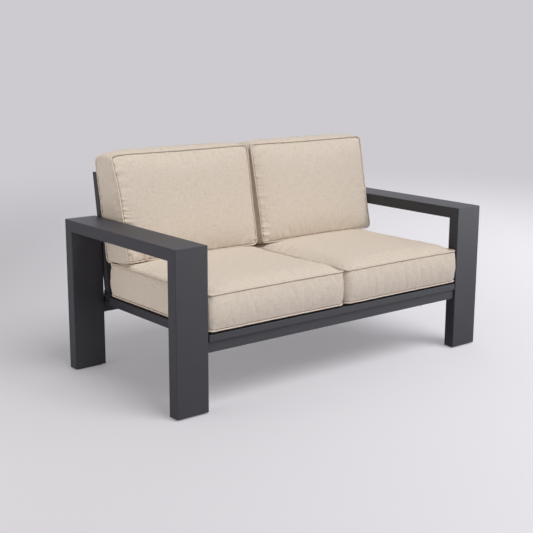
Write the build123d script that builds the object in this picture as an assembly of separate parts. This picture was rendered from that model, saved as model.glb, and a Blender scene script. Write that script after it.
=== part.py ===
from build123d import *
import os
from math import cos, radians, sin, sqrt, tan

# Patio loveseat: two arm panels of wide aluminium tube, two cross beams, a slatted
# seat frame, a leaning back frame and four loose boxed cushions.
# Millimetres, +Z up. The front faces -Y and the left side is at -X.
# The origin is on the floor below the middle of the overall width and depth.

os.makedirs("parts", exist_ok=True)

# Arm panels
overall_width = 1536
arm_depth = 757
arm_height = 600
arm_width = 134
leg_thickness = 48
armrest_thickness = 45
arm_wall = 2.5
arm_edge_radius = 3

# Moulded feet, pressed into the open lower ends of the legs
foot_height = 5.5
foot_inset = 11
foot_corner_radius = 3
foot_flange_thickness = 1.5
foot_plug_depth = 18
foot_plug_wall = 2.5
foot_plug_clearance = 0.2

# Cross beams between the arm panels, each held by a block inside either end
beam_height = 40
beam_depth = 30
beam_wall = 2
beam_edge_radius = 2
block_length = 60
block_clearance = 0.2
block_screw_margin = 15

# Seat frame
seat_frame_top = 283
seat_rail_height = 26
seat_rear_rail_depth = 84
seat_side_rail_height = 33
seat_side_rail_width = 25
seat_centre_rail_width = 25
seat_end_gap = 4
seat_rail_wall = 2
seat_rail_edge_radius = 2
end_cap_thickness = 3

# Slats of the seat and of the back, the same flat tube
slats_per_bay = 4
slat_width = 40
slat_thickness = 12
slat_wall = 1.5
slat_edge_radius = 1.5

# Back frame, leaning backwards on the rear rail of the seat frame
back_lean = 8.2
back_top_height = 773
back_front_inset = 76
back_bottom_rail_height = 25
back_bottom_rail_depth = 38
back_tube_width = 25
back_tube_depth = 30
back_wall = 2
back_edge_radius = 2

# Fasteners
bolt_radius = 3
bolt_head_radius = 5.8
bolt_head_height = 4
bolt_hole_clearance = 0.3
thread_clearance = 0.05
thread_overrun = 4
screw_grip = 14
washer_radius = 8
washer_thickness = 1.6
weld_nut_radius = 6
weld_nut_height = 5
frame_bolt_leg_distance = 184
back_bolt_end_margin = 70

# Seat cushions
cushion_gap = 0.5
cushion_seat_clearance = 0.3
cushion_bulge = 5
cushion_draw = 3
cushion_corner_radius = 24
seat_cushion_boxing = 133
seat_cushion_rear_margin = 84
seat_cushion_crown = 20
seat_cushion_under_crown = 7

# Back cushions, which lean a little further than the frame behind them
back_cushion_lean = 10
back_cushion_height = 411
back_cushion_boxing = 154
back_cushion_inner_gap = 7
back_cushion_front_crown = 18
back_cushion_rear_crown = 13

# Outlines of a crown, as shares of the seam outline that they shrink from
crown_outline_shares = (1, 0.9, 0.74, 0.54, 0.32, 0.12)
crown_rounding_share = 0.9
seating_shares = [step / 20 for step in range(-20, 21)]
seating_edge_share = 0.95
settling_passes = 4

arm_front = -arm_depth / 2
arm_rear = arm_depth / 2
inner_face = overall_width / 2 - arm_width
leg_bottom = foot_height + foot_flange_thickness
seat_half_width = inner_face - seat_end_gap
seat_rail_bottom = seat_frame_top - seat_rail_height
seat_rear_rail_front = arm_rear - seat_rear_rail_depth
beam_bottom = seat_rail_bottom - beam_height
beam_setback = (leg_thickness - beam_depth) / 2
back_bottom_rail_top = seat_frame_top + back_bottom_rail_height
back_front = arm_rear - back_front_inset
frame_bolt_outer = inner_face - frame_bolt_leg_distance
frame_bolt_places = [-frame_bolt_outer, 0, frame_bolt_outer]
parts = {}


def tube(low, high, axis, wall, edge_radius):
    """Hollow rectangular tube that fills the box from low to high, open along one axis."""
    size = [top - bottom for bottom, top in zip(low, high)]
    middle = [(top + bottom) / 2 for bottom, top in zip(low, high)]
    length = size.pop("XYZ".index(axis))
    plane = {"X": Plane.YZ, "Y": Plane.XZ, "Z": Plane.XY}[axis]
    bore = Rectangle(size[0] - 2 * wall, size[1] - 2 * wall)
    profile = RectangleRounded(size[0], size[1], edge_radius) - bore
    return Pos(*middle) * extrude(plane * profile, amount=length / 2, both=True)


def block(low, high):
    """Plain block that fills the box from low to high."""
    size = [top - bottom for bottom, top in zip(low, high)]
    middle = [(top + bottom) / 2 for bottom, top in zip(low, high)]
    return Pos(*middle) * Box(*size)


def post(radius, bottom, top, x, y):
    """Upright cylinder between two heights."""
    return Pos(x, y, bottom) * extrude(Circle(radius), amount=top - bottom)


def hexagon(radius, bottom, top, x, y):
    """Upright hexagonal prism between two heights."""
    return Pos(x, y, bottom) * extrude(RegularPolygon(radius, 6), amount=top - bottom)


def drill(solid, places, y, bottom, top):
    """Clearance holes for the bolts, straight up through a tube's walls."""
    for x in places:
        solid -= post(bolt_radius + bolt_hole_clearance, bottom, top, x, y)
    return solid


def hex_bolts(places, y, seat, reach):
    """Bolts with their heads hanging below a seat and their shanks standing on it."""
    bolts = []
    for x in places:
        head = hexagon(bolt_head_radius, seat - bolt_head_height, seat, x, y)
        bolts.append(head + post(bolt_radius, seat, seat + reach, x, y))
    return bolts


def washers(places, y, seat):
    """Washers that hang below a seat, round the bolt's shank."""
    rings = []
    for x in places:
        ring = post(washer_radius, seat - washer_thickness, seat, x, y)
        rings.append(ring - post(bolt_radius + bolt_hole_clearance, seat - washer_thickness, seat, x, y))
    return rings


def weld_nuts(places, y, seat):
    """Nuts that stand on the inside of a tube's lower wall."""
    nuts = []
    for x in places:
        nut = hexagon(weld_nut_radius, seat, seat + weld_nut_height, x, y)
        nuts.append(nut - post(bolt_radius + thread_clearance, seat, seat + weld_nut_height, x, y))
    return nuts


def both_sides(name, solid):
    """Keep a left-hand piece and its mirror image on the right."""
    parts["left_" + name] = solid
    parts["right_" + name] = mirror(solid, about=Plane.YZ)


# Arm panels: three mitred tubes each, welded into an open portal
mitre_normal = (0, armrest_thickness, leg_thickness)
front_mitre = Plane(origin=(0, arm_front, arm_height), z_dir=mitre_normal)
leg_low = (-overall_width / 2, arm_front, leg_bottom)
leg_high = (-inner_face, arm_front + leg_thickness, arm_height)
front_leg = split(tube(leg_low, leg_high, "Z", arm_wall, arm_edge_radius), front_mitre, Keep.BOTTOM)
armrest_low = (-overall_width / 2, arm_front, arm_height - armrest_thickness)
armrest_high = (-inner_face, arm_rear, arm_height)
armrest = tube(armrest_low, armrest_high, "Y", arm_wall, arm_edge_radius)
armrest = split(armrest, front_mitre, Keep.TOP)
armrest = mirror(split(mirror(armrest, about=Plane.XZ), front_mitre, Keep.TOP), about=Plane.XZ)
both_sides("front_leg", front_leg)
both_sides("rear_leg", mirror(front_leg, about=Plane.XZ))
both_sides("armrest", armrest)

# Feet: a pad that stands on the floor, a flange below the tube and a hollow plug inside it
leg_middle_x = -(overall_width / 2 + inner_face) / 2
leg_middle_y = arm_front + leg_thickness / 2
pad = RectangleRounded(arm_width - 2 * foot_inset, leg_thickness - 2 * foot_inset, foot_corner_radius)
flange = RectangleRounded(arm_width, leg_thickness, arm_edge_radius)
plug_inset = arm_wall + foot_plug_clearance
plug = Rectangle(arm_width - 2 * plug_inset, leg_thickness - 2 * plug_inset)
plug_bore_inset = plug_inset + foot_plug_wall
plug -= Rectangle(arm_width - 2 * plug_bore_inset, leg_thickness - 2 * plug_bore_inset)
foot = extrude(pad, amount=foot_height)
foot += Pos(0, 0, foot_height) * extrude(flange, amount=foot_flange_thickness)
foot += Pos(0, 0, leg_bottom) * extrude(plug, amount=foot_plug_depth)
front_foot = Pos(leg_middle_x, leg_middle_y, 0) * foot
both_sides("front_foot", front_foot)
both_sides("rear_foot", mirror(front_foot, about=Plane.XZ))

# Cross beams: each slides over a block welded to either leg, and screws hold it from below
beam_front = arm_front + beam_setback
beam_middle_y = beam_front + beam_depth / 2
block_inset = beam_wall + block_clearance
block_screw_places = [inner_face - block_screw_margin, inner_face - block_length + block_screw_margin]
beam_screw_places = [side * place for side in (-1, 1) for place in block_screw_places]
beam_low = (-inner_face, beam_front, beam_bottom)
beam_high = (inner_face, beam_front + beam_depth, seat_rail_bottom)
front_beam = tube(beam_low, beam_high, "X", beam_wall, beam_edge_radius)
front_beam = drill(front_beam, beam_screw_places, beam_middle_y, beam_bottom, beam_bottom + beam_wall)
front_beam = drill(front_beam, frame_bolt_places, beam_middle_y, beam_bottom, seat_rail_bottom)
block_low = (-inner_face, beam_front + block_inset, beam_bottom + beam_wall)
block_high = (block_length - inner_face, beam_front + beam_depth - block_inset, seat_rail_bottom - block_inset)
joint_block = block(block_low, block_high)
for place in block_screw_places:
    thread_top = beam_bottom + screw_grip + thread_overrun
    thread = post(bolt_radius + thread_clearance, beam_bottom, thread_top, -place, beam_middle_y)
    joint_block -= thread
front_blocks = [joint_block, mirror(joint_block, about=Plane.YZ)]
front_screws = hex_bolts(beam_screw_places, beam_middle_y, beam_bottom, screw_grip)
parts["front_beam"] = front_beam
parts["rear_beam"] = mirror(front_beam, about=Plane.XZ)
parts["beam_joint_blocks"] = front_blocks + [mirror(piece, about=Plane.XZ) for piece in front_blocks]
parts["beam_screws"] = front_screws + [mirror(piece, about=Plane.XZ) for piece in front_screws]

# Seat frame: front and rear rails lie on the beams, with the other rails and the slats between them
seat_front_rail_rear = arm_front + leg_thickness
front_rail_low = (-seat_half_width, arm_front, seat_rail_bottom)
front_rail_high = (seat_half_width, seat_front_rail_rear, seat_frame_top)
front_rail = tube(front_rail_low, front_rail_high, "X", seat_rail_wall, seat_rail_edge_radius)
wall_top = seat_rail_bottom + seat_rail_wall
parts["seat_front_rail"] = drill(front_rail, frame_bolt_places, beam_middle_y, seat_rail_bottom, wall_top)
rear_rail_low = (-seat_half_width, seat_rear_rail_front, seat_rail_bottom)
rear_rail_high = (seat_half_width, arm_rear, seat_frame_top)
rear_rail = tube(rear_rail_low, rear_rail_high, "X", seat_rail_wall, seat_rail_edge_radius)
rear_rail = drill(rear_rail, frame_bolt_places, -beam_middle_y, seat_rail_bottom, wall_top)
side_low = (-seat_half_width, seat_front_rail_rear, seat_frame_top - seat_side_rail_height)
side_high = (seat_side_rail_width - seat_half_width, seat_rear_rail_front, seat_frame_top)
side_rail = tube(side_low, side_high, "Y", seat_rail_wall, seat_rail_edge_radius)
parts["seat_left_rail"] = side_rail
parts["seat_right_rail"] = mirror(side_rail, about=Plane.YZ)
centre_low = (-seat_centre_rail_width / 2, seat_front_rail_rear, seat_rail_bottom)
centre_high = (seat_centre_rail_width / 2, seat_rear_rail_front, seat_frame_top)
parts["seat_centre_rail"] = tube(centre_low, centre_high, "Y", seat_rail_wall, seat_rail_edge_radius)


def slat_places(bay_start, bay_end):
    """Middles of the slats that share out one bay evenly."""
    gap = (bay_end - bay_start - slats_per_bay * slat_width) / (slats_per_bay + 1)
    return [bay_start + gap + slat_width / 2 + turn * (gap + slat_width) for turn in range(slats_per_bay)]


seat_bay = slat_places(seat_centre_rail_width / 2, seat_half_width - seat_side_rail_width)
seat_slat_places = sorted([-place for place in seat_bay] + seat_bay)
for number, place in enumerate(seat_slat_places, start=1):
    slat_low = (place - slat_width / 2, seat_front_rail_rear, seat_frame_top - slat_thickness)
    slat_high = (place + slat_width / 2, seat_rear_rail_front, seat_frame_top)
    parts[f"seat_slat_{number}"] = tube(slat_low, slat_high, "Y", slat_wall, slat_edge_radius)


def end_caps(half_width, front, rear, bottom, top, wall):
    """Pair of caps that close the two ends of a rail, flush with its ends."""
    low = (-half_width, front + wall, bottom + wall)
    high = (end_cap_thickness - half_width, rear - wall, top - wall)
    cap = block(low, high)
    return [cap, mirror(cap, about=Plane.YZ)]


front_rail_span = (arm_front, seat_front_rail_rear, seat_rail_bottom, seat_frame_top)
rear_rail_span = (seat_rear_rail_front, arm_rear, seat_rail_bottom, seat_frame_top)
parts["seat_front_rail_end_caps"] = end_caps(seat_half_width, *front_rail_span, seat_rail_wall)
parts["seat_rear_rail_end_caps"] = end_caps(seat_half_width, *rear_rail_span, seat_rail_wall)

# Bolts that hold the seat frame down on the beams, with washers below and nuts inside the rails
frame_bolt_seat = beam_bottom - washer_thickness
frame_bolt_reach = wall_top + weld_nut_height + thread_overrun - frame_bolt_seat
front_set = [
    hex_bolts(frame_bolt_places, beam_middle_y, frame_bolt_seat, frame_bolt_reach),
    washers(frame_bolt_places, beam_middle_y, beam_bottom),
    weld_nuts(frame_bolt_places, beam_middle_y, wall_top),
]
for name, pieces in zip(["frame_bolts", "frame_bolt_washers", "frame_weld_nuts"], front_set):
    parts[name] = pieces + [mirror(piece, about=Plane.XZ) for piece in pieces]

# Back frame: a flat bottom rail with the leaning tubes standing on it
lean = radians(back_lean)
back_foot_depth = back_tube_depth / cos(lean)
bottom_rail_middle = back_front + back_foot_depth / 2
bottom_rail_front = bottom_rail_middle - back_bottom_rail_depth / 2
bottom_rail_rear = bottom_rail_middle + back_bottom_rail_depth / 2
bottom_rail_low = (-seat_half_width, bottom_rail_front, seat_frame_top)
bottom_rail_high = (seat_half_width, bottom_rail_rear, back_bottom_rail_top)
bottom_rail = tube(bottom_rail_low, bottom_rail_high, "X", back_wall, back_edge_radius)
back_bolt_outer = seat_half_width - back_bolt_end_margin
back_bolt_places = [-back_bolt_outer, 0, back_bolt_outer]
back_wall_top = seat_frame_top + back_wall
back_bolt_seat = seat_rail_bottom - washer_thickness
back_bolt_reach = back_wall_top + weld_nut_height + thread_overrun - back_bolt_seat
rear_rail = drill(rear_rail, back_bolt_places, bottom_rail_middle, seat_rail_bottom, seat_frame_top)
bottom_rail = drill(bottom_rail, back_bolt_places, bottom_rail_middle, seat_frame_top, back_wall_top)
bottom_rail_span = (bottom_rail_front, bottom_rail_rear, seat_frame_top, back_bottom_rail_top)
parts["seat_rear_rail"] = rear_rail
parts["back_bottom_rail"] = bottom_rail
parts["back_bottom_rail_end_caps"] = end_caps(seat_half_width, *bottom_rail_span, back_wall)
parts["back_bolts"] = hex_bolts(back_bolt_places, bottom_rail_middle, back_bolt_seat, back_bolt_reach)
parts["back_bolt_washers"] = washers(back_bolt_places, bottom_rail_middle, seat_rail_bottom)
parts["back_weld_nuts"] = weld_nuts(back_bolt_places, bottom_rail_middle, back_wall_top)

# The leaning tubes are drawn upright from the front face of the back, then turned and cut level
back_place = Location((0, back_front, back_bottom_rail_top), (-back_lean, 0, 0))
back_length = (back_top_height - back_bottom_rail_top) / cos(lean)
top_rail_bottom = back_length - back_tube_width
below_cut = -back_tube_depth * tan(lean)
foot_cut = Plane(origin=(0, 0, back_bottom_rail_top), z_dir=(0, 0, 1))
corner_mitre = Plane(origin=(-seat_half_width, 0, back_length), z_dir=(1, 0, 1))


def stand_on_bottom_rail(solid):
    """Lean a tube backwards and cut its foot level with the top of the bottom rail."""
    return split(back_place * solid, foot_cut, Keep.TOP)


def back_tube(start, end):
    """One tube of the back frame that runs up from below the cut, between two X places."""
    low = (start, 0, below_cut)
    high = (end, back_tube_depth, top_rail_bottom)
    return tube(low, high, "Z", back_wall, back_edge_radius)


post_low = (-seat_half_width, 0, below_cut)
post_high = (back_tube_width - seat_half_width, back_tube_depth, back_length)
back_post = tube(post_low, post_high, "Z", back_wall, back_edge_radius)
back_post = stand_on_bottom_rail(split(back_post, corner_mitre, Keep.BOTTOM))
parts["back_left_post"] = back_post
parts["back_right_post"] = mirror(back_post, about=Plane.YZ)
parts["back_centre_post"] = stand_on_bottom_rail(back_tube(-back_tube_width / 2, back_tube_width / 2))
top_rail_low = (-seat_half_width, 0, top_rail_bottom)
top_rail_high = (seat_half_width, back_tube_depth, back_length)
top_rail = split(tube(top_rail_low, top_rail_high, "X", back_wall, back_edge_radius), corner_mitre, Keep.TOP)
top_rail = mirror(split(mirror(top_rail, about=Plane.YZ), corner_mitre, Keep.TOP), about=Plane.YZ)
parts["back_top_rail"] = back_place * top_rail

back_bay = slat_places(back_tube_width / 2, seat_half_width - back_tube_width)
back_slat_places = sorted([-place for place in back_bay] + back_bay)
for number, place in enumerate(back_slat_places, start=1):
    slat_low = (place - slat_width / 2, 0, below_cut)
    slat_high = (place + slat_width / 2, slat_thickness, top_rail_bottom)
    back_slat = tube(slat_low, slat_high, "Z", slat_wall, slat_edge_radius)
    parts[f"back_slat_{number}"] = stand_on_bottom_rail(back_slat)


def cushion_outline(width, length, corner, draw, height):
    """Face of a cushion at one height: four drawn-in sides joined by round corners."""
    side_x = width / 2
    side_y = length / 2
    corner_mid = corner * (1 - sqrt(0.5))
    lines = [
        ThreePointArc((corner - side_x, -side_y), (0, draw - side_y), (side_x - corner, -side_y)),
        ThreePointArc(
            (side_x - corner, -side_y),
            (side_x - corner_mid, corner_mid - side_y),
            (side_x, corner - side_y),
        ),
        ThreePointArc((side_x, corner - side_y), (side_x - draw, 0), (side_x, side_y - corner)),
        ThreePointArc(
            (side_x, side_y - corner),
            (side_x - corner_mid, side_y - corner_mid),
            (side_x - corner, side_y),
        ),
        ThreePointArc((side_x - corner, side_y), (0, side_y - draw), (corner - side_x, side_y)),
        ThreePointArc(
            (corner - side_x, side_y),
            (corner_mid - side_x, side_y - corner_mid),
            (-side_x, side_y - corner),
        ),
        ThreePointArc((-side_x, side_y - corner), (draw - side_x, 0), (-side_x, corner - side_y)),
        ThreePointArc(
            (-side_x, corner - side_y),
            (corner_mid - side_x, corner_mid - side_y),
            (corner - side_x, -side_y),
        ),
    ]
    return Pos(0, 0, height) * make_face(Curve() + lines)


def crown(width, length, height, direction):
    """Pillow that rises from the seam outline, with level curves that get rounder towards its top."""
    outlines = []
    for share in crown_outline_shares:
        rise = direction * height * (1 - share**2)
        rounding = crown_rounding_share * (1 - share) * min(width, length) / 2
        corner = share * (cushion_corner_radius + rounding)
        outlines.append(cushion_outline(width * share, length * share, corner, cushion_draw * share, rise))
    return loft(outlines)


def cushion(width, length, boxing, upper_crown, lower_crown):
    """Boxed cushion: a band that bulges between two seams, with a crown above and one below."""
    band = loft([
        cushion_outline(width, length, cushion_corner_radius, cushion_draw, 0),
        cushion_outline(
            width + 2 * cushion_bulge,
            length + 2 * cushion_bulge,
            cushion_corner_radius + cushion_bulge,
            cushion_draw,
            boxing / 2,
        ),
        cushion_outline(width, length, cushion_corner_radius, cushion_draw, boxing),
    ])
    upper = Pos(0, 0, boxing) * crown(width, length, upper_crown, 1)
    return band + upper + crown(width, length, lower_crown, -1)


# Seat cushions: flush with the legs in front, resting on the slats
seat_cushion_width = inner_face - 2 * cushion_gap - 2 * cushion_bulge
seat_cushion_middle_x = inner_face / 2
seat_cushion_front = arm_front + cushion_bulge
seat_cushion_rear = arm_rear - seat_cushion_rear_margin - cushion_bulge
seat_cushion_depth = seat_cushion_rear - seat_cushion_front
seat_cushion_middle_y = (seat_cushion_front + seat_cushion_rear) / 2
seat_seam_low = seat_frame_top + cushion_seat_clearance + seat_cushion_under_crown
seat_seam_top = seat_seam_low + seat_cushion_boxing
seat_cushion = cushion(
    seat_cushion_width,
    seat_cushion_depth,
    seat_cushion_boxing,
    seat_cushion_crown,
    seat_cushion_under_crown,
)
both_sides("seat_cushion", Pos(-seat_cushion_middle_x, seat_cushion_middle_y, seat_seam_low) * seat_cushion)


def seat_height(y, across_share):
    """Height of a seat cushion's top, or None past its rear seam."""
    along_share = abs(y - seat_cushion_middle_y) / (seat_cushion_depth / 2)
    share = max(along_share, across_share)
    return seat_seam_top + seat_cushion_crown * (1 - share**2) if share <= 1 else None


# Back cushions: the rear crown lies against the frame and the lower band on the seat cushions
back_cushion_angle = radians(back_cushion_lean)
up_y = sin(back_cushion_angle)
up_z = cos(back_cushion_angle)
frame_gaps = []
for share in seating_shares:
    along = share * back_cushion_height / 2
    behind = back_cushion_rear_crown * (1 - share**2)
    point_y = along * up_y + behind * up_z
    point_z = along * up_z - behind * up_y
    frame_gaps.append(point_y * cos(lean) - point_z * sin(lean))
frame_offset = -(max(frame_gaps) + cushion_seat_clearance)
centre_y = back_front + frame_offset * cos(lean)
centre_z = back_bottom_rail_top - frame_offset * sin(lean)
for settling in range(settling_passes):
    shortfalls = []
    for share in seating_shares:
        forward = back_cushion_boxing * (1 + share) / 2
        for across_share in (0, seating_edge_share):
            drawn = cushion_draw if across_share == 0 else 0
            down = back_cushion_height / 2 - drawn + cushion_bulge * (1 - share**2)
            surface = seat_height(centre_y - down * up_y - forward * up_z, across_share)
            if surface is not None:
                shortfalls.append(surface - (centre_z - down * up_z + forward * up_y))
    rise = (max(shortfalls) + cushion_seat_clearance) / cos(lean)
    centre_y += rise * sin(lean)
    centre_z += rise * cos(lean)
back_cushion_width = inner_face - cushion_gap - back_cushion_inner_gap - 2 * cushion_bulge
back_cushion_middle_x = (inner_face - cushion_gap + back_cushion_inner_gap) / 2
back_cushion_plane = Plane(
    origin=(-back_cushion_middle_x, centre_y, centre_z),
    x_dir=(1, 0, 0),
    z_dir=(0, -up_z, up_y),
)
back_cushion = cushion(
    back_cushion_width,
    back_cushion_height,
    back_cushion_boxing,
    back_cushion_front_crown,
    back_cushion_rear_crown,
)
both_sides("back_cushion", back_cushion_plane.location * back_cushion)

# The overall depth runs from the fronts of the legs to the rounded rear corner of the top rail
corner_rise = (back_length - back_edge_radius) * sin(lean)
corner_reach = (back_tube_depth - back_edge_radius) * cos(lean) + back_edge_radius
to_origin = Pos(0, -(arm_front + back_front + corner_rise + corner_reach) / 2, 0)
for name, pieces in parts.items():
    pieces = pieces if isinstance(pieces, list) else [pieces]
    solids = [solid for piece in pieces for solid in (to_origin * piece).solids()]
    export_step(Compound(children=solids) if len(solids) > 1 else solids[0], f"parts/{name}.step")
print("origin moved to Y", to_origin.position.Y, "back cushion centre", centre_y, centre_z)
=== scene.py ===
import math
import bmesh
import bpy
from mathutils import Matrix, Vector, noise
from mathutils.bvhtree import BVHTree
from mathutils.kdtree import KDTree


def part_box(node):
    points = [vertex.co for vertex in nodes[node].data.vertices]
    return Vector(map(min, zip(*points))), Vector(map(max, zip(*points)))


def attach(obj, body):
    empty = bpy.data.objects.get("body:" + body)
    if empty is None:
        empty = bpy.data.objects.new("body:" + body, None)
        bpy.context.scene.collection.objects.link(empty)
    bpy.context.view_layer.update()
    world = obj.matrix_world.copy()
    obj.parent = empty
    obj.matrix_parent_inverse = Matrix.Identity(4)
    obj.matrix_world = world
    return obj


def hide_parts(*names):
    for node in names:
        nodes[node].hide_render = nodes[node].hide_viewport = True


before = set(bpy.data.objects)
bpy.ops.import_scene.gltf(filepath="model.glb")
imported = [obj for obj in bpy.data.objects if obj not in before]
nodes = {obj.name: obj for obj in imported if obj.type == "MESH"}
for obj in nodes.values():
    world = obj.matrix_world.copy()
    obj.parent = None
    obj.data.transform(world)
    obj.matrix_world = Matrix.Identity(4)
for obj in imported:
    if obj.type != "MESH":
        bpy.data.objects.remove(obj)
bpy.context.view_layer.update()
scene = bpy.context.scene
scene.view_settings.view_transform = "Standard"

# Studio
# A seamless pale sweep under broad soft light that comes mostly from above and in front.
# The camera stands at chest height, in front and to the left, as for a catalogue picture.
floor_colour = (0.528, 0.516, 0.547, 1)
# Painted light: the floor runs from the colour above on its left to this lighter one on its right, as if
# more light fell there.
floor_painted_light_colour = (0.94, 0.92, 0.98, 1)
backdrop_colour = (0.61, 0.595, 0.63, 1)
bounce_colour = (0.55, 0.55, 0.60, 1)
sky_colour = (0.93, 0.91, 0.9, 1)
sky_strength = 0.31
shadow_lift = 0.30
floor_reach = 40
painted_light_way = (0.78, -0.63, 0)
painted_light_reach = 1.6
sweep_start, sweep_end = 1.6, 7.0
camera_azimuth = math.radians(-38.784)
camera_elevation = math.radians(12.444)
camera_roll = math.radians(0.252)
camera_place = (-2.6385, -3.1995, 1.2881)
film_width = 36
lens_length = 70.35


def new_material(name):
    """Empty node material, with its tree, its Principled shader and its output."""
    material = bpy.data.materials.new(name)
    material.use_nodes = True
    tree = material.node_tree
    return material, tree, tree.nodes["Principled BSDF"], tree.nodes["Material Output"]


def add_node(tree, kind, **settings):
    """One shader node, with its properties and, by name or number, the values of its sockets."""
    node = tree.nodes.new(kind)
    for name, value in settings.items():
        if hasattr(node, name):
            setattr(node, name, value)
        else:
            node.inputs[name.replace("_", " ").title()].default_value = value
    return node


floor_mesh = bmesh.new()
bmesh.ops.create_circle(floor_mesh, cap_ends=True, segments=64, radius=floor_reach)
floor_data = bpy.data.meshes.new("studio_floor")
floor_mesh.to_mesh(floor_data)
floor_mesh.free()
floor = bpy.data.objects.new("studio_floor", floor_data)
scene.collection.objects.link(floor)

floor_material, tree, paper, output = new_material("studio_paper")
paper.inputs["Roughness"].default_value = 0.85
paper.inputs["Specular IOR Level"].default_value = 0.2
place = add_node(tree, "ShaderNodeTexCoord")
# Painted light: the paper is painted lighter across the floor towards the right of the picture.
across = add_node(tree, "ShaderNodeVectorMath", operation="DOT_PRODUCT")
across.inputs[1].default_value = painted_light_way
painted_light_gradient = add_node(tree, "ShaderNodeMapRange", from_min=-painted_light_reach, from_max=painted_light_reach)
painted_light_tint = add_node(tree, "ShaderNodeMix", data_type="RGBA", a=floor_colour, b=floor_painted_light_colour)
tree.links.new(place.outputs["Object"], across.inputs[0])
tree.links.new(across.outputs["Value"], painted_light_gradient.inputs["Value"])
tree.links.new(painted_light_gradient.outputs["Result"], painted_light_tint.inputs["Factor"])
path = add_node(tree, "ShaderNodeLightPath")
paper_bounce = add_node(tree, "ShaderNodeMix", data_type="RGBA", a=bounce_colour)
tree.links.new(path.outputs["Is Camera Ray"], paper_bounce.inputs["Factor"])
tree.links.new(painted_light_tint.outputs["Result"], paper_bounce.inputs["B"])
tree.links.new(paper_bounce.outputs["Result"], paper.inputs["Base Color"])
distance = add_node(tree, "ShaderNodeVectorMath", operation="LENGTH")
fade = add_node(
    tree, "ShaderNodeMapRange", interpolation_type="SMOOTHERSTEP", from_min=sweep_start, from_max=sweep_end,
)
tree.links.new(place.outputs["Object"], distance.inputs[0])
tree.links.new(distance.outputs["Value"], fade.inputs["Value"])
glow = add_node(tree, "ShaderNodeEmission")
glow.inputs["Color"].default_value = backdrop_colour
# Painted light: for the camera the paper also glows in its own tint, by the share of the shadow lift, which
# lightens the shadows on it.
lift = add_node(tree, "ShaderNodeEmission")
lift_share = add_node(tree, "ShaderNodeMath", operation="MULTIPLY")
lift_share.inputs[1].default_value = shadow_lift
lifted = add_node(tree, "ShaderNodeMixShader")
blend = add_node(tree, "ShaderNodeMixShader")
tree.links.new(painted_light_tint.outputs["Result"], lift.inputs["Color"])
tree.links.new(path.outputs["Is Camera Ray"], lift_share.inputs[0])
tree.links.new(lift_share.outputs["Value"], lifted.inputs["Fac"])
tree.links.new(paper.outputs["BSDF"], lifted.inputs[1])
tree.links.new(lift.outputs["Emission"], lifted.inputs[2])
tree.links.new(fade.outputs["Result"], blend.inputs["Fac"])
tree.links.new(lifted.outputs["Shader"], blend.inputs[1])
tree.links.new(glow.outputs["Emission"], blend.inputs[2])
tree.links.new(blend.outputs["Shader"], output.inputs["Surface"])
floor_data.materials.append(floor_material)

world = bpy.data.worlds.new("studio")
scene.world = world
world.use_nodes = True
tree = world.node_tree
sky = tree.nodes["Background"]
sky.inputs["Color"].default_value = sky_colour
sky.inputs["Strength"].default_value = sky_strength
shown = add_node(tree, "ShaderNodeBackground")
shown.inputs["Color"].default_value = backdrop_colour
path = add_node(tree, "ShaderNodeLightPath")
seen = add_node(tree, "ShaderNodeMath", operation="MAXIMUM")
blend = add_node(tree, "ShaderNodeMixShader")
tree.links.new(path.outputs["Is Camera Ray"], seen.inputs[0])
tree.links.new(path.outputs["Is Transmission Ray"], seen.inputs[1])
seen_or_mirrored = add_node(tree, "ShaderNodeMath", operation="MAXIMUM")
tree.links.new(seen.outputs["Value"], seen_or_mirrored.inputs[0])
tree.links.new(path.outputs["Is Glossy Ray"], seen_or_mirrored.inputs[1])
tree.links.new(seen_or_mirrored.outputs["Value"], blend.inputs["Fac"])
tree.links.new(sky.outputs["Background"], blend.inputs[1])
tree.links.new(shown.outputs["Background"], blend.inputs[2])
tree.links.new(blend.outputs["Shader"], tree.nodes["World Output"].inputs["Surface"])


def add_sun(name, azimuth, elevation, strength, spread, colour):
    """Distant lamp, aimed from a compass direction in which 0 is the front and 90 the right."""
    lamp = bpy.data.lights.new(name, "SUN")
    lamp.energy = strength
    lamp.color = colour
    lamp.angle = math.radians(spread)
    lamp_object = bpy.data.objects.new(name, lamp)
    turn, rise = math.radians(azimuth), math.radians(elevation)
    source = Vector((math.sin(turn) * math.cos(rise), -math.cos(turn) * math.cos(rise), math.sin(rise)))
    lamp_object.rotation_euler = source.to_track_quat("Z", "Y").to_euler()
    scene.collection.objects.link(lamp_object)


add_sun("key_light", azimuth=16, elevation=56, strength=2.24, spread=38, colour=(1, 0.99, 0.98))
add_sun("rear_light", azimuth=150, elevation=35, strength=0.22, spread=60, colour=(1, 1, 1))


def add_softbox(name, place, target, size, energy, colour, lit=True):
    """Unseen rectangular lamp that faces a target; where it isn't lit, only sheens show it."""
    lamp = bpy.data.lights.new(name, "AREA")
    lamp.energy = energy
    lamp.color = colour
    lamp.shape = "RECTANGLE"
    lamp.size, lamp.size_y = size
    lamp_object = bpy.data.objects.new(name, lamp)
    lamp_object.location = place
    lamp_object.rotation_euler = (Vector(place) - Vector(target)).to_track_quat("Z", "Y").to_euler()
    lamp_object.visible_camera = False
    lamp_object.visible_diffuse = lit
    scene.collection.objects.link(lamp_object)


add_softbox(
    "left_softbox", place=(-2.4, 0.1, 0.7), target=(-0.6, 0, 0.5), size=(1.4, 0.7),
    energy=11, colour=(1, 0.95, 0.89),
)
add_softbox(
    "front_card", place=(2.6, -3.2, 0.85), target=(0, -0.4, 0.3), size=(3.2, 1.6),
    energy=150, colour=(0.97, 0.99, 1), lit=False,
)

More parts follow.
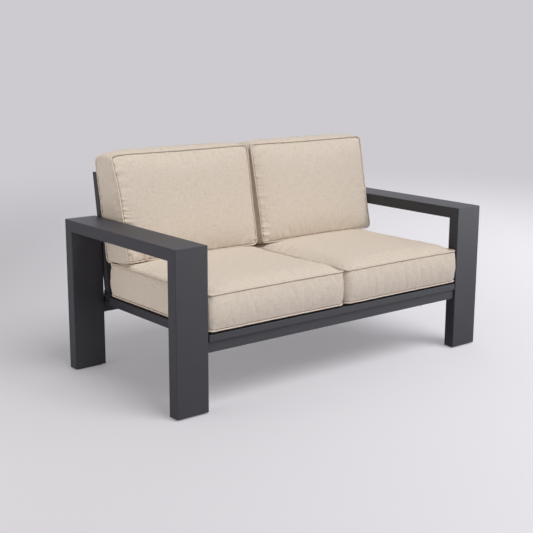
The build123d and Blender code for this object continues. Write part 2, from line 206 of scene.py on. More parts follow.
camera_data = bpy.data.cameras.new("camera")
camera_data.sensor_width = film_width
camera_data.lens = lens_length
camera = bpy.data.objects.new("camera", camera_data)
scene.collection.objects.link(camera)
scene.camera = camera
back = Vector((
    math.sin(camera_azimuth) * math.cos(camera_elevation),
    -math.cos(camera_azimuth) * math.cos(camera_elevation),
    math.sin(camera_elevation),
))
right = Vector((math.cos(camera_azimuth), math.sin(camera_azimuth), 0))
up = back.cross(right)
rolled_right = right * math.cos(camera_roll) + up * math.sin(camera_roll)
rolled_up = up * math.cos(camera_roll) - right * math.sin(camera_roll)
stand = Matrix((rolled_right, rolled_up, back)).transposed().to_4x4()
camera.matrix_world = Matrix.Translation(camera_place) @ stand

# Arm panels
# Each is three mitred aluminium tubes, 134 mm wide, welded into a portal and ground flush.
# The whole panel is then powder coated, a dark satin grey with a fine even grain.
coat_colour = (0.041, 0.0415, 0.050, 1)
coat_light_colour = (0.047, 0.0475, 0.0565, 1)
sheen_drift = 0.03


def coat_skin_group():
    """Skin of a sprayed and baked powder: a fine grain, and slow drifts in depth and colour."""
    group = bpy.data.node_groups.new("powder_coat_skin", "ShaderNodeTree")
    sockets = group.interface
    sockets.new_socket("Position", in_out="INPUT", socket_type="NodeSocketVector")
    for name in ("Grain Scale", "Grain Depth", "Roughness"):
        sockets.new_socket(name, in_out="INPUT", socket_type="NodeSocketFloat")
    for name in ("Colour", "Light Colour"):
        sockets.new_socket(name, in_out="INPUT", socket_type="NodeSocketColor")
    sockets.new_socket("Colour", in_out="OUTPUT", socket_type="NodeSocketColor")
    sockets.new_socket("Roughness", in_out="OUTPUT", socket_type="NodeSocketFloat")
    sockets.new_socket("Normal", in_out="OUTPUT", socket_type="NodeSocketVector")
    values = group.nodes.new("NodeGroupInput")
    result = group.nodes.new("NodeGroupOutput")
    grain = add_node(group, "ShaderNodeTexNoise", detail=3, roughness=0.6)
    drift = add_node(group, "ShaderNodeTexNoise", scale=6, detail=3)
    mix = add_node(group, "ShaderNodeMix", data_type="RGBA")
    sheen = add_node(
        group, "ShaderNodeMapRange", from_min=0.3, from_max=0.7, to_min=-sheen_drift, to_max=sheen_drift,
    )
    total = add_node(group, "ShaderNodeMath", operation="ADD")
    bump = add_node(group, "ShaderNodeBump", distance=0.001)
    link = group.links.new
    link(values.outputs["Position"], grain.inputs["Vector"])
    link(values.outputs["Position"], drift.inputs["Vector"])
    link(values.outputs["Grain Scale"], grain.inputs["Scale"])
    link(drift.outputs["Fac"], mix.inputs["Factor"])
    link(values.outputs["Colour"], mix.inputs["A"])
    link(values.outputs["Light Colour"], mix.inputs["B"])
    link(drift.outputs["Fac"], sheen.inputs["Value"])
    link(sheen.outputs["Result"], total.inputs[0])
    link(values.outputs["Roughness"], total.inputs[1])
    link(grain.outputs["Fac"], bump.inputs["Height"])
    link(values.outputs["Grain Depth"], bump.inputs["Strength"])
    link(mix.outputs["Result"], result.inputs["Colour"])
    link(total.outputs["Value"], result.inputs["Roughness"])
    link(bump.outputs["Normal"], result.inputs["Normal"])
    return group


coat_skin = coat_skin_group()


def coated(name, colour, light_colour, grain_scale, grain_depth, roughness):
    """Satin or matt skin of one colour, over metal or as moulded plastic."""
    material, tree, shader, _ = new_material(name)
    shader.inputs["Specular IOR Level"].default_value = 0.22
    place = add_node(tree, "ShaderNodeTexCoord")
    skin = add_node(tree, "ShaderNodeGroup")
    skin.node_tree = coat_skin
    skin.inputs["Grain Scale"].default_value = grain_scale
    skin.inputs["Grain Depth"].default_value = grain_depth
    skin.inputs["Roughness"].default_value = roughness
    skin.inputs["Colour"].default_value = colour
    skin.inputs["Light Colour"].default_value = light_colour
    tree.links.new(place.outputs["Object"], skin.inputs["Position"])
    tree.links.new(skin.outputs["Colour"], shader.inputs["Base Color"])
    tree.links.new(skin.outputs["Roughness"], shader.inputs["Roughness"])
    tree.links.new(skin.outputs["Normal"], shader.inputs["Normal"])
    return material


def finish_nodes(names, material):
    """Give the solid pieces of the frame their finish."""
    for name in names:
        for slot in nodes[name].material_slots:
            slot.material = material


powder_coat = coated(
    "charcoal_powder_coat", coat_colour, coat_light_colour,
    grain_scale=1400, grain_depth=0.12, roughness=0.46,
)
sides = ("left", "right")
panel_tubes = ("front_leg", "rear_leg", "armrest")
finish_nodes([f"{side}_{tube}" for side in sides for tube in panel_tubes], powder_coat)

# Feet
# Black moulded caps, pressed into the open ends of the legs, that keep the metal off the floor.
# They have the dull, slightly coarse skin of moulded plastic.
foot_colour = (0.014, 0.014, 0.015, 1)
foot_light_colour = (0.022, 0.022, 0.024, 1)
foot_plastic = coated(
    "black_moulded_plastic", foot_colour, foot_light_colour,
    grain_scale=900, grain_depth=0.2, roughness=0.6,
)
finish_nodes([f"{side}_{end}_foot" for side in sides for end in ("front", "rear")], foot_plastic)

# Cross beams
# Two tubes carry the seat between the arm panels. Each slides over a block inside either end.
# Plated machine screws hold it there from below.
zinc_colour = (0.5, 0.51, 0.53, 1)
zinc_light_colour = (0.66, 0.67, 0.66, 1)


def zinc_plated():
    """Bright zinc plating, slightly clouded and brushed by handling."""
    material, tree, shader, _ = new_material("zinc_plated_steel")
    shader.inputs["Metallic"].default_value = 1
    place = add_node(tree, "ShaderNodeTexCoord")
    cloud = add_node(tree, "ShaderNodeTexNoise", scale=260, detail=4)
    tint = add_node(tree, "ShaderNodeMix", data_type="RGBA", a=zinc_colour, b=zinc_light_colour)
    dullness = add_node(tree, "ShaderNodeMapRange", to_min=0.25, to_max=0.5)
    tree.links.new(place.outputs["Object"], cloud.inputs["Vector"])
    tree.links.new(cloud.outputs["Fac"], tint.inputs["Factor"])
    tree.links.new(cloud.outputs["Fac"], dullness.inputs["Value"])
    tree.links.new(tint.outputs["Result"], shader.inputs["Base Color"])
    tree.links.new(dullness.outputs["Result"], shader.inputs["Roughness"])
    return material


plated_steel = zinc_plated()
finish_nodes(["front_beam", "rear_beam", "beam_joint_blocks"], powder_coat)
finish_nodes(["beam_screws"], plated_steel)

# Seat frame
# Rails and slats of coated tube, welded flush on top, lie on the beams and are bolted down to them.
# Black caps close the open ends of the rails.
seat_slats = [f"seat_slat_{number}" for number in range(1, 9)]
seat_rails = [f"seat_{place}_rail" for place in ("front", "rear", "left", "right", "centre")]
finish_nodes(seat_rails + seat_slats, powder_coat)
finish_nodes(["seat_front_rail_end_caps", "seat_rear_rail_end_caps"], foot_plastic)
finish_nodes(["frame_bolts", "frame_bolt_washers", "frame_weld_nuts"], plated_steel)
bead_radius = 0.0024
bead_sides = 8
bead_step = 0.0026
rings_per_step = 2
bead_ripple = 0.16
bead_end = 0.55


def bead_mesh(start, end):
    """Rippled weld bead in a corner between two tubes, its heart in the joint."""
    run = end - start
    bead = bmesh.new()
    bmesh.ops.create_cone(
        bead, cap_ends=True, segments=bead_sides, radius1=bead_radius, radius2=bead_radius, depth=run.length,
    )
    lengthwise = [e for e in bead.edges if abs(e.verts[0].co.z - e.verts[1].co.z) > bead_step]
    cuts = round(run.length / bead_step * rings_per_step) - 1
    bmesh.ops.subdivide_edges(bead, edges=lengthwise, cuts=cuts)
    for vert in bead.verts:
        ripple = 1 + bead_ripple * math.cos(2 * math.pi * vert.co.z / bead_step)
        if abs(vert.co.z) > run.length / 2 - bead_ripple * bead_step:
            ripple = bead_end
        vert.co.x *= ripple
        vert.co.y *= ripple
    lay = run.to_track_quat("Z", "Y").to_matrix().to_4x4()
    bmesh.ops.transform(bead, matrix=Matrix.Translation((start + end) / 2) @ lay, verts=bead.verts)
    mesh = bpy.data.meshes.new("bead")
    bead.to_mesh(mesh)
    bead.free()
    return mesh


def weld(name, runs):
    """All the weld beads of a frame, as one piece of it."""
    bm = bmesh.new()
    for start, end in runs:
        bead = bead_mesh(Vector(start), Vector(end))
        bm.from_mesh(bead)
        bpy.data.meshes.remove(bead)
    mesh = bpy.data.meshes.new(name)
    bm.to_mesh(mesh)
    bm.free()
    mesh.materials.append(powder_coat)
    for polygon in mesh.polygons:
        polygon.use_smooth = True
    beads = bpy.data.objects.new(name, mesh)
    scene.collection.objects.link(beads)
    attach(beads, "frame")


seat_runs = []
for slat in seat_slats:
    low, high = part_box(slat)
    seat_runs += [((low.x, y, low.z), (high.x, y, low.z)) for y in (low.y, high.y)]
rail_low, rail_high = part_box("seat_front_rail")
for rail in ("seat_left_rail", "seat_centre_rail", "seat_right_rail"):
    low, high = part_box(rail)
    faces = [x for x in (low.x, high.x) if abs(x) < rail_high.x - bead_radius]
    top = rail_high.z - bead_radius
    seat_runs += [((x, y, rail_low.z), (x, y, top)) for x in faces for y in (low.y, high.y)]
weld("seat_frame_welds", seat_runs)

# Back frame
# A leaning frame of the same tube and slats stands on the rear rail of the seat.
# Bolts through both rails hold it.
back_slats = [f"back_slat_{number}" for number in range(1, 9)]
back_tubes = ["back_bottom_rail", "back_top_rail", "back_left_post", "back_right_post", "back_centre_post"]
finish_nodes(back_tubes + back_slats, powder_coat)
finish_nodes(["back_bottom_rail_end_caps"], foot_plastic)
finish_nodes(["back_bolts", "back_bolt_washers", "back_weld_nuts"], plated_steel)
back_runs = []
slat_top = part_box("back_slat_1")[1].z


def reach_at(tube, z):
    """Front and rear faces of a leaning tube at the height of one of its ends."""
    depths = [corner.co.y for corner in nodes[tube].data.vertices if abs(corner.co.z - z) < bead_radius / 2]
    return min(depths), max(depths)


for slat in back_slats:
    low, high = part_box(slat)
    for z in (low.z, slat_top):
        rear = reach_at(slat, z)[1]
        back_runs.append(((low.x, rear, z), (high.x, rear, z)))
for post in ("back_left_post", "back_centre_post", "back_right_post"):
    low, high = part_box(post)
    (foot_front, foot_rear), (head_front, head_rear) = reach_at(post, low.z), reach_at(post, high.z)
    share = (slat_top - low.z) / (high.z - low.z)
    under_front = foot_front + (head_front - foot_front) * share
    under_rear = foot_rear + (head_rear - foot_rear) * share
    for x in (low.x, high.x):
        if abs(x) < rail_high.x - bead_radius:
            back_runs.append(((x, foot_front + bead_radius, low.z), (x, foot_rear, low.z)))
            back_runs.append(((x, under_front + bead_radius, slat_top), (x, under_rear, slat_top)))
weld("back_frame_welds", back_runs)

# Seat cushions
# Foam blocks in sewn covers of heathered outdoor cloth, boxed all round.
# A welt of the same cloth is sewn into the seams above and below the boxing.
cell = 0.007
rim = 0.9999
side_shift, end_shift = 3, 7
panel_squareness = 10
front_shoulder, rear_shoulder = 0.6, 1.2
seam_bulge = 0.008
side_draw = 0.003
edge_hold = 6
corner_turn = 7
head_hold, head_fade = 8, 4
slump_hold, slump_fade = 6, 3
outward_divisor, downward_divisor = 5, 12
draw_hold, corner_hold = 3, 8
ripple_depth = 0.0007
ripple_pitch, fine_ripple_pitch, fine_ripple_share = 32, 75, 0.6
ripple_stride, fold_stride, slow_stride = 7.1, 5.3, 2.7
fill_pressure = 5
fill_steps = 20
most_swelling = 0.010
foam_grip = 0.02
gather_reach = 0.035
touch_gap = 0.0002
arm_softness = 0.004
past_arm = 0.008
# How far the painted shade reaches from a seam; the puckers also fade in over this reach.
crease_reach = 0.0032
pucker_reach = 0.05
pucker_spacing = 0.017
pucker_depth = 0.020
pucker_fade = 1.5
fold_turn = 9
fold_level = 0.2
slow_pitch, slow_level = 9, 0.5
least_slow = 0.2
boxing_draw = 0.35
even_draw, left_draw, low_draw, corner_draw = 0.3, 0.7, 0.35, 0.5
seam_depth = 0.0035
welt_radius = 0.003
welt_rise = 0.0022
welt_reach = 12
welt_slope = 0.0003
cushion_nodes = [f"{side}_{place}_cushion" for place in ("seat", "back") for side in sides]


def span(node, direction):
    """Lowest and highest reach of a solid's corners along a direction."""
    reaches = [direction.dot(corner.co) for corner in nodes[node].data.vertices]
    return min(reaches), max(reaches)


def round_corner(across, along, half_width, half_length, corner_radius):
    """Take a point of a rectangle to the same rectangle with round corners."""
    over_x = abs(across) - (half_width - corner_radius)
    over_y = abs(along) - (half_length - corner_radius)
    if over_x <= 0 or over_y <= 0:
        return across, along
    u, v = over_x / corner_radius, over_y / corner_radius
    new_x = half_width - corner_radius + corner_radius * u * math.sqrt(1 - v * v / 2)
    new_y = half_length - corner_radius + corner_radius * v * math.sqrt(1 - u * u / 2)
    return math.copysign(new_x, across), math.copysign(new_y, along)


def cut_cover(size, seed):
    """Box two units wide of cells of cloth, with its weave map and its marked seams."""
    bm = bmesh.new()
    bmesh.ops.create_cube(bm, size=2)
    for axis in range(3):
        edges = [e for e in bm.edges if abs((e.verts[0].co - e.verts[1].co)[axis]) > 1 - rim]
        bmesh.ops.subdivide_edges(bm, edges=edges, cuts=round(size[axis] / cell) - 1, use_grid_fill=True)
    weave = bm.loops.layers.uv.new("weave")
    for face in bm.faces:
        normal = face.normal
        across, along = (1, 2) if abs(normal.x) > 0.5 else (0, 2) if abs(normal.y) > 0.5 else (0, 1)
        shift = sum(normal) + side_shift * abs(normal.x) + end_shift * abs(normal.y) + seed
        for loop in face.loops:
            corner = loop.vert.co
            loop[weave].uv = [corner[axis] * size[axis] / 2 + shift for axis in (across, along)]
    for edge in bm.edges:
        a, b = (v.co for v in edge.verts)
        on_seam = all(max(abs(p.x), abs(p.y)) > rim and abs(p.z) > rim for p in (a, b))
        on_side = abs(a.x) > rim and abs(b.x) > rim or abs(a.y) > rim and abs(b.y) > rim
        edge.seam = on_seam and on_side
    return bm


def boxed_cover(
    name, size, crowns, firmness, corner_radius, place, seed, puckers, head=(0, 0), foot=(0, 0), pinch=0,
):
    """Sewn cover with its panels in cells of cloth, round corners, crowns and bulging sides.

    The head says how far the upper side swells and how much higher it stands at the rear. The foot says
    how far the lower left corner is drawn in and how much deeper the boxing is below. The pinch says how
    far the upper left corner of the front slumps back, and with it a little outwards and down.
    """
    width, length, boxing = size
    head_swell, head_rise = head
    foot_draw, foot_depth = foot
    bm = cut_cover(size, seed)
    draw = bm.verts.layers.float.new("draw")
    for vert in bm.verts:
        x, y, z = vert.co
        on_front, on_panel = z > 0, abs(z) > rim
        to_edge = min((x ** panel_squareness + y ** panel_squareness) ** (1 / panel_squareness), 1)
        fullness = (1 - to_edge ** firmness) ** (front_shoulder if on_front else rear_shoulder)
        swell = seam_bulge * (1 - z * z) * max(abs(x), abs(y)) ** edge_hold
        draw_x = side_draw * (1 - y * y) * abs(x) ** edge_hold
        draw_y = side_draw * (1 - x * x) * abs(y) ** edge_hold
        across, along = round_corner(x * width / 2, y * length / 2, width / 2, length / 2, corner_radius)
        outward = Vector((x ** corner_turn, y ** corner_turn, 0))
        if outward.length > 0:
            outward.normalize()
        across += outward.x * swell - math.copysign(draw_x, x)
        along += outward.y * swell - math.copysign(draw_y, y)
        across += foot_draw * (1 - y) / 2 * (1 - x) / 2
        along += head_swell * (1 - z * z) * (1 - x ** head_fade) * max(y, 0) ** head_hold
        along += head_rise * (1 - z) / 2 * max(y, 0) ** 2
        pinched = pinch * max(-x, 0) ** slump_hold * ((1 + y) / 2) ** slump_fade
        rise = crowns[0] if on_front else -crowns[1]
        depth = (boxing - pinched + foot_depth * (1 - y) / 2) * (1 + z) / 2
        height = depth + (rise * fullness if on_panel else 0)
        across -= pinched / outward_divisor * (1 + z) / 2
        along -= pinched / downward_divisor * (1 + z) / 2
        vert.co = (across, along, height)
        left, low = max(-x, 0) ** draw_hold, max(-y, 0) ** draw_hold
        corner = min(abs(x), abs(y)) ** corner_hold
        share = 1 if on_panel else boxing_draw
        pull = even_draw + left_draw * left + low_draw * low + corner_draw * corner
        vert[draw] = share * puckers * pull
    bm.normal_update()
    for vert in bm.verts:
        wave = noise.noise(vert.co * ripple_pitch + Vector((seed * ripple_stride, 0, 0)))
        wave += fine_ripple_share * noise.noise(vert.co * fine_ripple_pitch)
        vert.co += vert.normal * wave * ripple_depth
    bmesh.ops.transform(bm, matrix=place, verts=bm.verts)
    mesh = bpy.data.meshes.new(name)
    bm.to_mesh(mesh)
    bm.free()
    cover = bpy.data.objects.new(name, mesh)
    scene.collection.objects.link(cover)
    for polygon in mesh.polygons:
        polygon.use_smooth = True
    return cover


def seam_loops(bm):
    """The marked seams of a cover, each as a ring of corners in order."""
    left = {edge for edge in bm.edges if edge.seam}
    loops = []
    while left:
        edge = min(left, key=lambda e: e.index)
        left.discard(edge)
        first, last = edge.verts
        ring = [first, last]
        while last is not first:
            edge = next(e for e in last.link_edges if e in left)
            left.discard(edge)
            last = edge.other_vert(last)
            ring.append(last)
        loops.append(ring[:-1])
    return loops


def fill(covers):
    """Fill the covers: cloth under air pressure, held to the foam, gathered a little along its seams."""
    rests = []
    for cover in covers:
        mesh = cover.data
        seam = {index for edge in mesh.edges if edge.use_seam for index in edge.vertices}
        foam = cover.vertex_groups.new(name="foam")
        gather = cover.vertex_groups.new(name="gather")
        others = [v.index for v in mesh.vertices if v.index not in seam]
        sewn = KDTree(len(seam))
        for index in seam:
            sewn.insert(mesh.vertices[index].co, index)
        sewn.balance()
        foam.add(list(seam), 1, "REPLACE")
        foam.add(others, foam_grip, "REPLACE")
        for vert in mesh.vertices:
            near = 1 - sewn.find(vert.co)[2] / gather_reach
            gather.add([vert.index], max(near, 0), "REPLACE")
        cloth = cover.modifiers.new("filling", "CLOTH")
        fabric = cloth.settings
        fabric.quality = 6
        fabric.mass = 0.25
        fabric.tension_stiffness = 25
        fabric.compression_stiffness = 12
        fabric.shear_stiffness = 6
        fabric.bending_stiffness = 0.4
        fabric.use_pressure = True
        fabric.uniform_pressure_force = fill_pressure
        fabric.vertex_group_mass = "foam"
        fabric.pin_stiffness = 1
        fabric.vertex_group_shrink = "gather"
        fabric.shrink_min = -0.012
        fabric.shrink_max = -0.07
        fabric.effector_weights.gravity = 0
        cloth.collision_settings.use_collision = False
        rests.append([v.co.copy() for v in mesh.vertices])
    for step in range(1, fill_steps + 1):
        scene.frame_set(step)
    graph = bpy.context.evaluated_depsgraph_get()
    for cover, rest in zip(covers, rests):
        swollen = [v.co.copy() for v in cover.evaluated_get(graph).data.vertices]
        cover.modifiers.clear()
        for vert, start, end in zip(cover.data.vertices, rest, swollen):
            move = end - start
            if move.length > 0:
                move *= most_swelling * math.tanh(move.length / most_swelling) / move.length
            vert.co = start + move
    scene.frame_set(1)


def solid_surface(names):
    """Search tree over the surfaces of some solid pieces."""
    corners, faces = [], []
    for name in names:
        first = len(corners)
        corners += [v.co for v in nodes[name].data.vertices]
        faces += [[first + i for i in face.vertices] for face in nodes[name].data.polygons]
    return BVHTree.FromPolygons(corners, faces)


def clearance(point, node):
    """How far cloth may stand out at a point before it meets the frame, or halfway to the next cushion."""
    to_frame = frame_surface.find_nearest(point)[3] - touch_gap
    to_cushion = (neighbour_surfaces[node].find_nearest(point)[3] - touch_gap) / 2
    return max(min(to_frame, to_cushion), 0)


def keep_clear(cover, node, arm_room):
    """Bring cloth that reaches a neighbour back towards its own solid, and keep it between the arms."""
    own = solid_surface([node])
    arm_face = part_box("right_armrest")[0].x - touch_gap
    for vert in cover.data.vertices:
        point, normal, _, reach = own.find_nearest(vert.co)
        if (vert.co - point).dot(normal) > 0:
            room = clearance(point, node)
            if reach > room:
                vert.co = point + (vert.co - point) * room / reach
        firm = arm_face + arm_room(vert.co) - arm_softness
        if abs(vert.co.x) > firm:
            pressed = firm + arm_softness * math.tanh((abs(vert.co.x) - firm) / arm_softness)
            vert.co.x = math.copysign(pressed, vert.co.x)


def smooth_step(value):
    """Soft change from 0 to 1 as the value goes from 0 to 1, and level on either side."""
    value = min(max(value, 0), 1)
    return value * value * (3 - 2 * value)


def pucker(bm, rings, seed):
    """Small creases that run away from the seams, where the stitching draws the cloth in, and a mask of
    painted shade along the seams.
    """
    points = [vert.co.copy() for ring in rings for vert in ring]
    sewn = KDTree(len(points))
    for index, point in enumerate(points):
        sewn.insert(point, index)
    sewn.balance()
    draw = bm.verts.layers.float["draw"]
    painted_crease_shade = bm.verts.layers.float["painted_crease_shade"]
    for vert in bm.verts:
        point, _, reach = sewn.find(vert.co)
        # Painted shade: a mask that darkens the cloth's colour in the creases along the seams.
        vert[painted_crease_shade] = math.exp(-(reach / crease_reach) ** 2)
        if 0 < reach < pucker_reach:
            along = point / pucker_spacing
            fold = abs(noise.noise(along + Vector((seed * fold_stride, 0, reach * fold_turn)))) - fold_level
            slow = slow_level + noise.noise(point * slow_pitch + Vector((seed * slow_stride, 0, 0)))
            fade = (1 - reach / pucker_reach) ** pucker_fade * min(reach / crease_reach, 1)
            vert.co += vert.normal * pucker_depth * vert[draw] * fade * fold * max(slow, least_slow)


def sew(cover, body, node, seed, arm_room):
    """Smooth a filled cover, pucker and sink its seams and lay a welt of the same cloth in each."""
    smooth = cover.modifiers.new("smooth", "SUBSURF")
    smooth.levels = smooth.render_levels = 1
    graph = bpy.context.evaluated_depsgraph_get()
    mesh = bpy.data.meshes.new_from_object(cover.evaluated_get(graph))
    cover.modifiers.clear()
    cover.vertex_groups.clear()
    cover.data = mesh
    keep_clear(cover, node, arm_room)
    bm = bmesh.new()
    bm.from_mesh(mesh)
    bm.verts.layers.float.new("painted_crease_shade")
    bm.normal_update()
    rings = seam_loops(bm)
    pucker(bm, rings, seed)
    welts = bpy.data.curves.new(cover.name + "_welts", "CURVE")
    welts.dimensions = "3D"
    welts.bevel_depth = welt_radius
    welts.bevel_resolution = 2
    welts.use_fill_caps = False
    for ring in rings:
        line = welts.splines.new("POLY")
        line.points.add(len(ring) - 1)
        line.use_cyclic_u = True
        rooms = [clearance(vert.co, node) - welt_radius for vert in ring]
        for place, (point, vert) in enumerate(zip(line.points, ring)):
            near = range(-welt_reach, welt_reach + 1)
            limit = min(rooms[(place + step) % len(ring)] + abs(step) * welt_slope for step in near)
            point.co = (*(vert.co + vert.normal * min(welt_rise, limit)), 1)
    for ring in rings:
        for vert in ring:
            vert.co -= vert.normal * seam_depth
    bm.to_mesh(mesh)
    bm.free()
    mesh.name = cover.name
    welt_curve = bpy.data.objects.new(cover.name + "_welts", welts)
    scene.collection.objects.link(welt_curve)
    graph = bpy.context.evaluated_depsgraph_get()
    welt_mesh = bpy.data.meshes.new_from_object(welt_curve.evaluated_get(graph))
    bpy.data.objects.remove(welt_curve)
    welt = bpy.data.objects.new(cover.name + "_welts", welt_mesh)
    scene.collection.objects.link(welt)
    for piece, cloth in ((cover, cover_cloth), (welt, welt_cloth)):
        piece.data.materials.clear()
        piece.data.materials.append(cloth)
        for polygon in piece.data.polygons:
            polygon.use_smooth = True
        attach(piece, body)
    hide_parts(node)


sand_yarns = ((0.715, 0.625, 0.53, 1), (0.525, 0.435, 0.345, 1), (0.825, 0.755, 0.675, 1))
# Painted shade, multiplied into the cloth's colour along the seams where the creases lie in shadow.
seam_shade = (0.68, 0.60, 0.51, 1)
slub_length = 9
mottle_share = 0.9
thread_height = 0.35


def linen_group():
    """Plain weave of uneven yarns: thread crowns, slubs along both threads, a slow mottling and painted
    shade along the seams.
    """
    group = bpy.data.node_groups.new("heathered_weave", "ShaderNodeTree")
    sockets = group.interface
    sockets.new_socket("Position", in_out="INPUT", socket_type="NodeSocketVector")
    for name in ("Thread Scale", "Slub Strength", "Depth", "Painted Crease Shade"):
        sockets.new_socket(name, in_out="INPUT", socket_type="NodeSocketFloat")
    for name in ("Yarn", "Dark Yarn", "Light Yarn"):
        sockets.new_socket(name, in_out="INPUT", socket_type="NodeSocketColor")
    sockets.new_socket("Colour", in_out="OUTPUT", socket_type="NodeSocketColor")
    sockets.new_socket("Normal", in_out="OUTPUT", socket_type="NodeSocketVector")
    values = group.nodes.new("NodeGroupInput")
    result = group.nodes.new("NodeGroupOutput")
    link = group.links.new
    slubs = []
    for squeeze in ((1, slub_length, 1), (slub_length, 1, 1)):
        turned = add_node(group, "ShaderNodeVectorMath", operation="MULTIPLY")
        turned.inputs[1].default_value = squeeze
        yarn = add_node(group, "ShaderNodeTexNoise", scale=26, detail=5, roughness=0.68)
        link(values.outputs["Position"], turned.inputs[0])
        link(turned.outputs["Vector"], yarn.inputs["Vector"])
        slubs.append(yarn)
    both = add_node(group, "ShaderNodeMath", operation="ADD")
    link(slubs[0].outputs["Fac"], both.inputs[0])
    link(slubs[1].outputs["Fac"], both.inputs[1])
    mottle = add_node(group, "ShaderNodeTexNoise", scale=90, detail=5, roughness=0.7)
    link(values.outputs["Position"], mottle.inputs["Vector"])
    total = add_node(group, "ShaderNodeMath", operation="MULTIPLY_ADD")
    total.inputs[1].default_value = mottle_share
    link(mottle.outputs["Fac"], total.inputs[0])
    link(both.outputs["Value"], total.inputs[2])
    dark = add_node(group, "ShaderNodeMapRange", from_min=1.42, from_max=1.05)
    light = add_node(group, "ShaderNodeMapRange", from_min=1.48, from_max=1.9)
    for level in (dark, light):
        link(total.outputs["Value"], level.inputs["Value"])
    dark_amount = add_node(group, "ShaderNodeMath", operation="MULTIPLY")
    light_amount = add_node(group, "ShaderNodeMath", operation="MULTIPLY")
    for level, amount in ((dark, dark_amount), (light, light_amount)):
        link(level.outputs["Result"], amount.inputs[0])
        link(values.outputs["Slub Strength"], amount.inputs[1])
    shaded = add_node(group, "ShaderNodeMix", data_type="RGBA")
    lit = add_node(group, "ShaderNodeMix", data_type="RGBA")
    link(dark_amount.outputs["Value"], shaded.inputs["Factor"])
    link(values.outputs["Yarn"], shaded.inputs["A"])
    link(values.outputs["Dark Yarn"], shaded.inputs["B"])
    link(light_amount.outputs["Value"], lit.inputs["Factor"])
    link(shaded.outputs["Result"], lit.inputs["A"])
    link(values.outputs["Light Yarn"], lit.inputs["B"])
    scaled = add_node(group, "ShaderNodeVectorMath", operation="SCALE")
    link(values.outputs["Position"], scaled.inputs[0])
    link(values.outputs["Thread Scale"], scaled.inputs["Scale"])
    apart = add_node(group, "ShaderNodeSeparateXYZ")
    link(scaled.outputs["Vector"], apart.inputs["Vector"])
    waves = []
    for axis in "XY":
        wave = add_node(group, "ShaderNodeMath", operation="SINE")
        link(apart.outputs[axis], wave.inputs[0])
        waves.append(wave)
    crossing = add_node(group, "ShaderNodeMath", operation="MULTIPLY")
    link(waves[0].outputs["Value"], crossing.inputs[0])
    link(waves[1].outputs["Value"], crossing.inputs[1])
    height = add_node(group, "ShaderNodeMath", operation="MULTIPLY_ADD")
    height.inputs[1].default_value = thread_height
    link(crossing.outputs["Value"], height.inputs[0])
    link(total.outputs["Value"], height.inputs[2])
    bump = add_node(group, "ShaderNodeBump", distance=0.0006)
    link(height.outputs["Value"], bump.inputs["Height"])
    link(values.outputs["Depth"], bump.inputs["Strength"])
    # Painted shade: the cloth is darkened towards the seam shade where the mask marks a seam crease.
    painted_shade = add_node(group, "ShaderNodeMix", data_type="RGBA", blend_type="MULTIPLY", b=seam_shade)
    link(values.outputs["Painted Crease Shade"], painted_shade.inputs["Factor"])
    link(lit.outputs["Result"], painted_shade.inputs["A"])
    link(painted_shade.outputs["Result"], result.inputs["Colour"])
    link(bump.outputs["Normal"], result.inputs["Normal"])
    return group


linen = linen_group()


def cushion_cloth(name, coordinates, painted_crease_shade, yarn, dark_yarn, light_yarn):
    """Woven outdoor cloth, on the cover's own weave map with painted shade along its seams, or on object
    coordinates.
    """
    material, tree, shader, _ = new_material(name)
    shader.inputs["Roughness"].default_value = 0.9
    shader.inputs["Specular IOR Level"].default_value = 0.25
    shader.inputs["Sheen Weight"].default_value = 0.15
    shader.inputs["Sheen Roughness"].default_value = 0.5
    if coordinates == "Object":
        place = add_node(tree, "ShaderNodeTexCoord")
        position = place.outputs["Object"]
    else:
        place = add_node(tree, "ShaderNodeUVMap", uv_map=coordinates)
        position = place.outputs["UV"]
    weave = add_node(tree, "ShaderNodeGroup")
    weave.node_tree = linen
    weave.inputs["Thread Scale"].default_value = 4200
    weave.inputs["Slub Strength"].default_value = 0.6
    weave.inputs["Depth"].default_value = 0.5
    # Painted shade along the seams, read from the mask that the sewing left on the cover.
    if painted_crease_shade:
        painted_shade = add_node(tree, "ShaderNodeAttribute", attribute_name=painted_crease_shade)
        tree.links.new(painted_shade.outputs["Fac"], weave.inputs["Painted Crease Shade"])
    weave.inputs["Yarn"].default_value = yarn
    weave.inputs["Dark Yarn"].default_value = dark_yarn
    weave.inputs["Light Yarn"].default_value = light_yarn
    tree.links.new(position, weave.inputs["Position"])
    tree.links.new(weave.outputs["Colour"], shader.inputs["Base Color"])
    tree.links.new(weave.outputs["Normal"], shader.inputs["Normal"])
    return material


cover_cloth = cushion_cloth("sand_linen_cover", "weave", "painted_crease_shade", *sand_yarns)
welt_cloth = cushion_cloth("sand_linen_welt", "Object", None, *sand_yarns)
frame_surface = solid_surface([name for name in nodes if name not in cushion_nodes])
neighbour_surfaces = {node: solid_surface([n for n in cushion_nodes if n != node]) for node in cushion_nodes}
x_axis, y_axis, z_axis = Vector((1, 0, 0)), Vector((0, 1, 0)), Vector((0, 0, 1))
seat_crown, seat_under_crown = 0.020, 0.012
seat_corner_radius = 0.025
seat_insets = {"left": (0.005, 0.0), "right": (0.011, 0.004)}
seat_firmness = 8
seat_front_inset, seat_rear_inset = -0.003, 0.005
leg_front, leg_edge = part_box("left_front_leg")[0].y, 0.005
seat_puckers = 0.35
seat_covers = []


def room_before_legs(point):
    """Cloth of a seat cushion spreads past the arm's face only in front of the leg."""
    return past_arm * smooth_step((leg_front - point.y) / leg_edge)


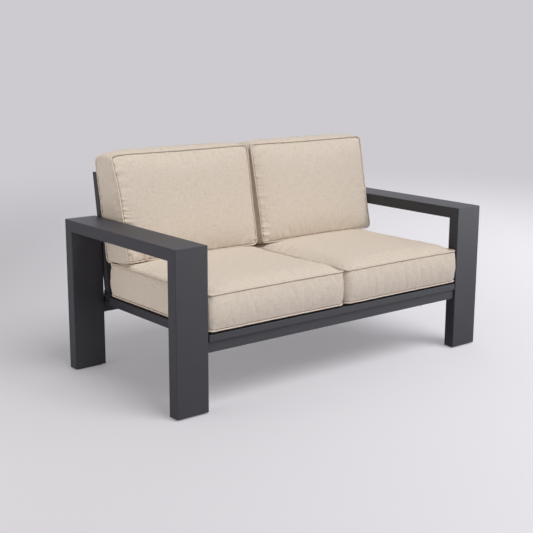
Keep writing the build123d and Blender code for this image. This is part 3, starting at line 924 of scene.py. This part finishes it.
for seed, side in enumerate(sides, start=1):
    node = f"{side}_seat_cushion"
    (x_low, x_high), (y_low, y_high) = span(node, x_axis), span(node, y_axis)
    z_low, z_high = span(node, z_axis)
    x_low, x_high = x_low + seat_insets[side][0], x_high - seat_insets[side][1]
    y_low, y_high = y_low + seat_front_inset, y_high - seat_rear_inset
    size = (x_high - x_low, y_high - y_low, z_high - z_low - seat_crown - seat_under_crown)
    place = Matrix.Translation(((x_low + x_high) / 2, (y_low + y_high) / 2, z_low + seat_under_crown))
    crowns = (seat_crown, seat_under_crown)
    cover = boxed_cover(
        f"{side}_seat_cover", size, crowns, seat_firmness, seat_corner_radius, place, seed, seat_puckers,
    )
    seat_covers.append(cover)
fill(seat_covers)
for seed, (side, cover) in enumerate(zip(sides, seat_covers), start=1):
    body = node = f"{side}_seat_cushion"
    sew(cover, body, node, seed, room_before_legs)

# Back cushions
# The same cover and foam, a little thicker, standing on the seat cushions and leaning on the back.
# They lean further back than the frame does, so they touch it only behind their middle.
back_lean = math.radians(10)
back_crown, back_rear_crown = 0.018, 0.013
back_corner_radius = 0.024
back_firmness = 4
back_puckers = 1
seam_inset, head_inset = 0.001, 0.007
head = (0.010, 0.008)
feet = {"left": (0, 0), "right": (0.009, 0.009)}
slumped_corners = {"left": 0.029, "right": 0}
back_up = Vector((0, math.sin(back_lean), math.cos(back_lean)))
back_forward = Vector((0, -math.cos(back_lean), math.sin(back_lean)))
armrest_top, over_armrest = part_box("left_armrest")[1].z, 0.06
spread_depth = 0.15
back_rear = span("left_back_cushion", back_forward)[0] + back_rear_crown
back_covers = []


def room_over_armrests(point):
    """Cloth of a back cushion spreads past the arm's face only above the armrest, and at its front."""
    forward = (back_forward.dot(point) - back_rear) / spread_depth
    return past_arm * smooth_step((point.z - armrest_top) / over_armrest) * smooth_step(forward)


for seed, side in enumerate(sides, start=3):
    node = f"{side}_back_cushion"
    (x_low, x_high), (low, high) = span(node, x_axis), span(node, back_up)
    rear, front = span(node, back_forward)
    low, high = low + seam_inset, high - head_inset
    size = (x_high - x_low - 2 * seam_inset, high - low, front - rear - back_crown - back_rear_crown)
    inner = rear + back_rear_crown
    origin = x_axis * (x_low + x_high) / 2 + back_up * (low + high) / 2 + back_forward * inner
    turn = Matrix((x_axis, back_up, back_forward)).transposed().to_4x4()
    place = Matrix.Translation(origin) @ turn
    crowns = (back_crown, back_rear_crown)
    cover = boxed_cover(
        f"{side}_back_cover", size, crowns, back_firmness, back_corner_radius, place, seed, back_puckers,
        head=head, foot=feet[side], pinch=slumped_corners[side],
    )
    back_covers.append(cover)
fill(back_covers)
for seed, (side, cover) in enumerate(zip(sides, back_covers), start=3):
    body = node = f"{side}_back_cushion"
    sew(cover, body, node, seed, room_over_armrests)
